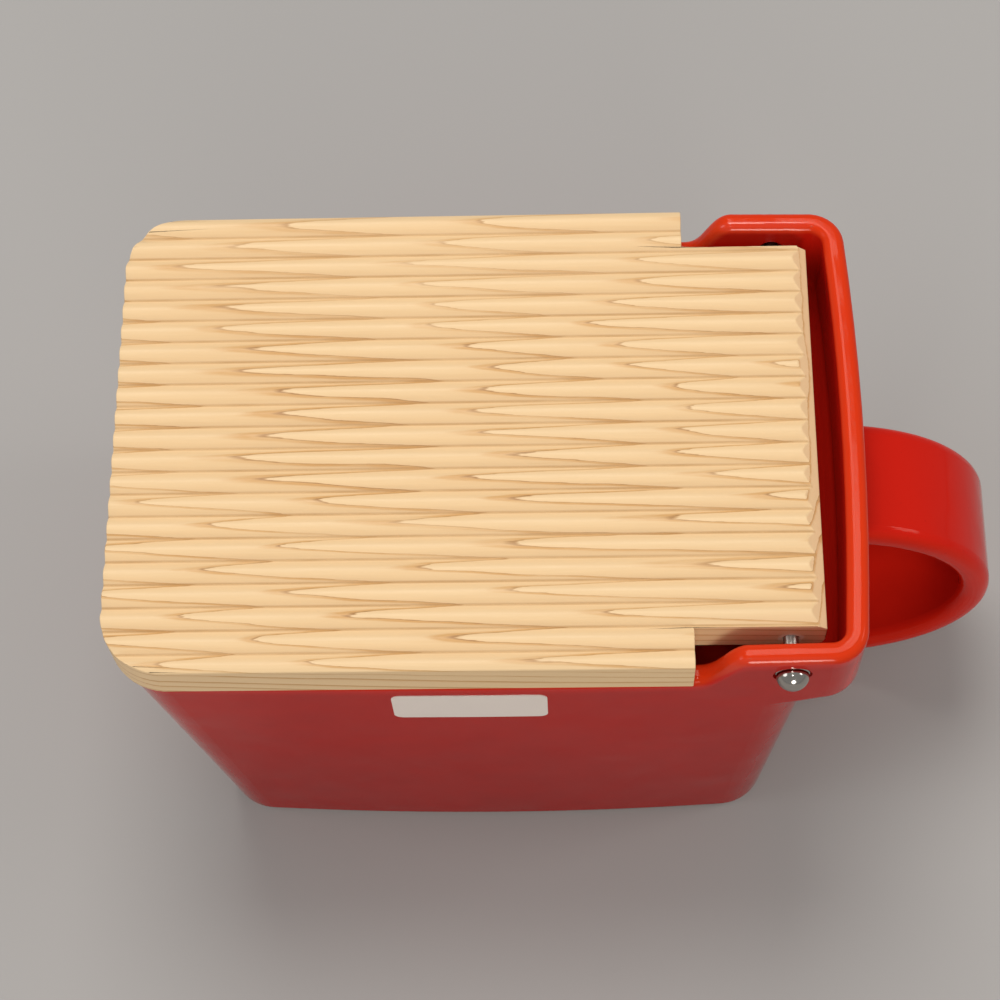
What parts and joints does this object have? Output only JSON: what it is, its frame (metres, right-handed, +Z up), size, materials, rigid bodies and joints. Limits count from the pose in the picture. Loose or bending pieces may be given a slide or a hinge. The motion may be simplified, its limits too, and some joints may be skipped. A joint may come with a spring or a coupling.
{
  "type": "salt box",
  "caption": "Glazed ceramic salt box with a strap handle and a ribbed wooden lid that swings up on a steel rod between two ears.",
  "frame": {"origin": "centre of the base's resting face", "axes": "+X towards the handle, -Y towards the wall with the sticker, +Z up"},
  "size_m": [0.177, 0.1024, 0.096],
  "materials": {
    "glaze": "gloss",
    "wood": "satin",
    "steel": "polished",
    "sticker": "satin"
  },
  "bodies": {
    "box": {"body": "glaze", "side_label": "sticker"},
    "lid": {"lid": "wood", "hinge_rod": "steel", "near_cap": "steel", "far_cap": "steel"}
  },
  "joints": [
    {"name": "lid_hinge", "type": "hinge", "parent": "box", "child": "lid", "pos_m": [0.0585, 0, 0.089], "axis": [0, 1, 0], "range_deg": [0, 110]}
  ]
}
